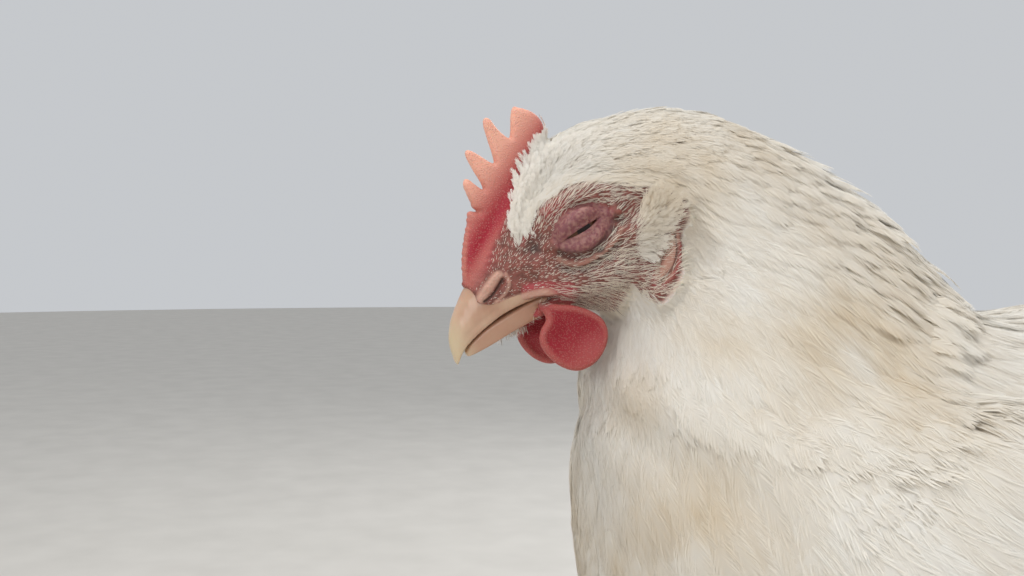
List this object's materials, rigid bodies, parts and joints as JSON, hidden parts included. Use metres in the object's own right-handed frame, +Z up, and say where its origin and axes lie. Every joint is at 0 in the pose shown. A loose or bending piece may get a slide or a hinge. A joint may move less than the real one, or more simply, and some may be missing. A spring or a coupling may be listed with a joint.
{
  "type": "laying hen",
  "caption": "Standing white laying hen with a red single comb and nearly shut eyes, a life-size still model for display.",
  "frame": {"origin": "on the floor under the middle of the bounding box", "axes": "+Z up, -Y towards the beak, +X towards the bird's left side"},
  "size_m": [0.1812, 0.3926, 0.3453],
  "materials": {
    "plumage": "soft matte feathers, creamy white",
    "face_skin": "bare pink-brown skin with sparse bristles",
    "comb_flesh": "bare red flesh with fine pale grains",
    "lobe_skin": "folded pale pink skin",
    "beak_horn": "smooth pinkish horn",
    "eyeball": "wet dark brown eye",
    "leg_scale": "pale yellow scaled skin",
    "claw_horn": "pale horn"
  },
  "bodies": {
    "root": {"beak_lower": "beak_horn", "beak_upper": "beak_horn", "claw_hind_left": "claw_horn", "claw_hind_right": "claw_horn", "claw_inner_left": "claw_horn", "claw_inner_right": "claw_horn", "claw_middle_left": "claw_horn", "claw_middle_right": "claw_horn", "claw_outer_left": "claw_horn", "claw_outer_right": "claw_horn", "comb": "comb_flesh", "ear_lobe_left": "lobe_skin", "ear_lobe_right": "lobe_skin", "ear_tuft_left": "plumage", "ear_tuft_right": "plumage", "eye_left": "eyeball", "eye_right": "eyeball", "eyelids_left": "face_skin", "eyelids_right": "face_skin", "foot_left": "leg_scale", "foot_right": "leg_scale", "head": "face_skin", "neck": "plumage", "primaries_left": "plumage", "primaries_right": "plumage", "shank_left": "leg_scale", "shank_right": "leg_scale", "tail": "plumage", "thigh_left": "plumage", "thigh_right": "plumage", "toe_hind_left": "leg_scale", "toe_hind_right": "leg_scale", "toe_inner_left": "leg_scale", "toe_inner_right": "leg_scale", "toe_middle_left": "leg_scale", "toe_middle_right": "leg_scale", "toe_outer_left": "leg_scale", "toe_outer_right": "leg_scale", "trunk": "plumage", "wattle_left": "comb_flesh", "wattle_right": "comb_flesh", "wing_left": "plumage", "wing_right": "plumage"}
  },
  "joints": []
}
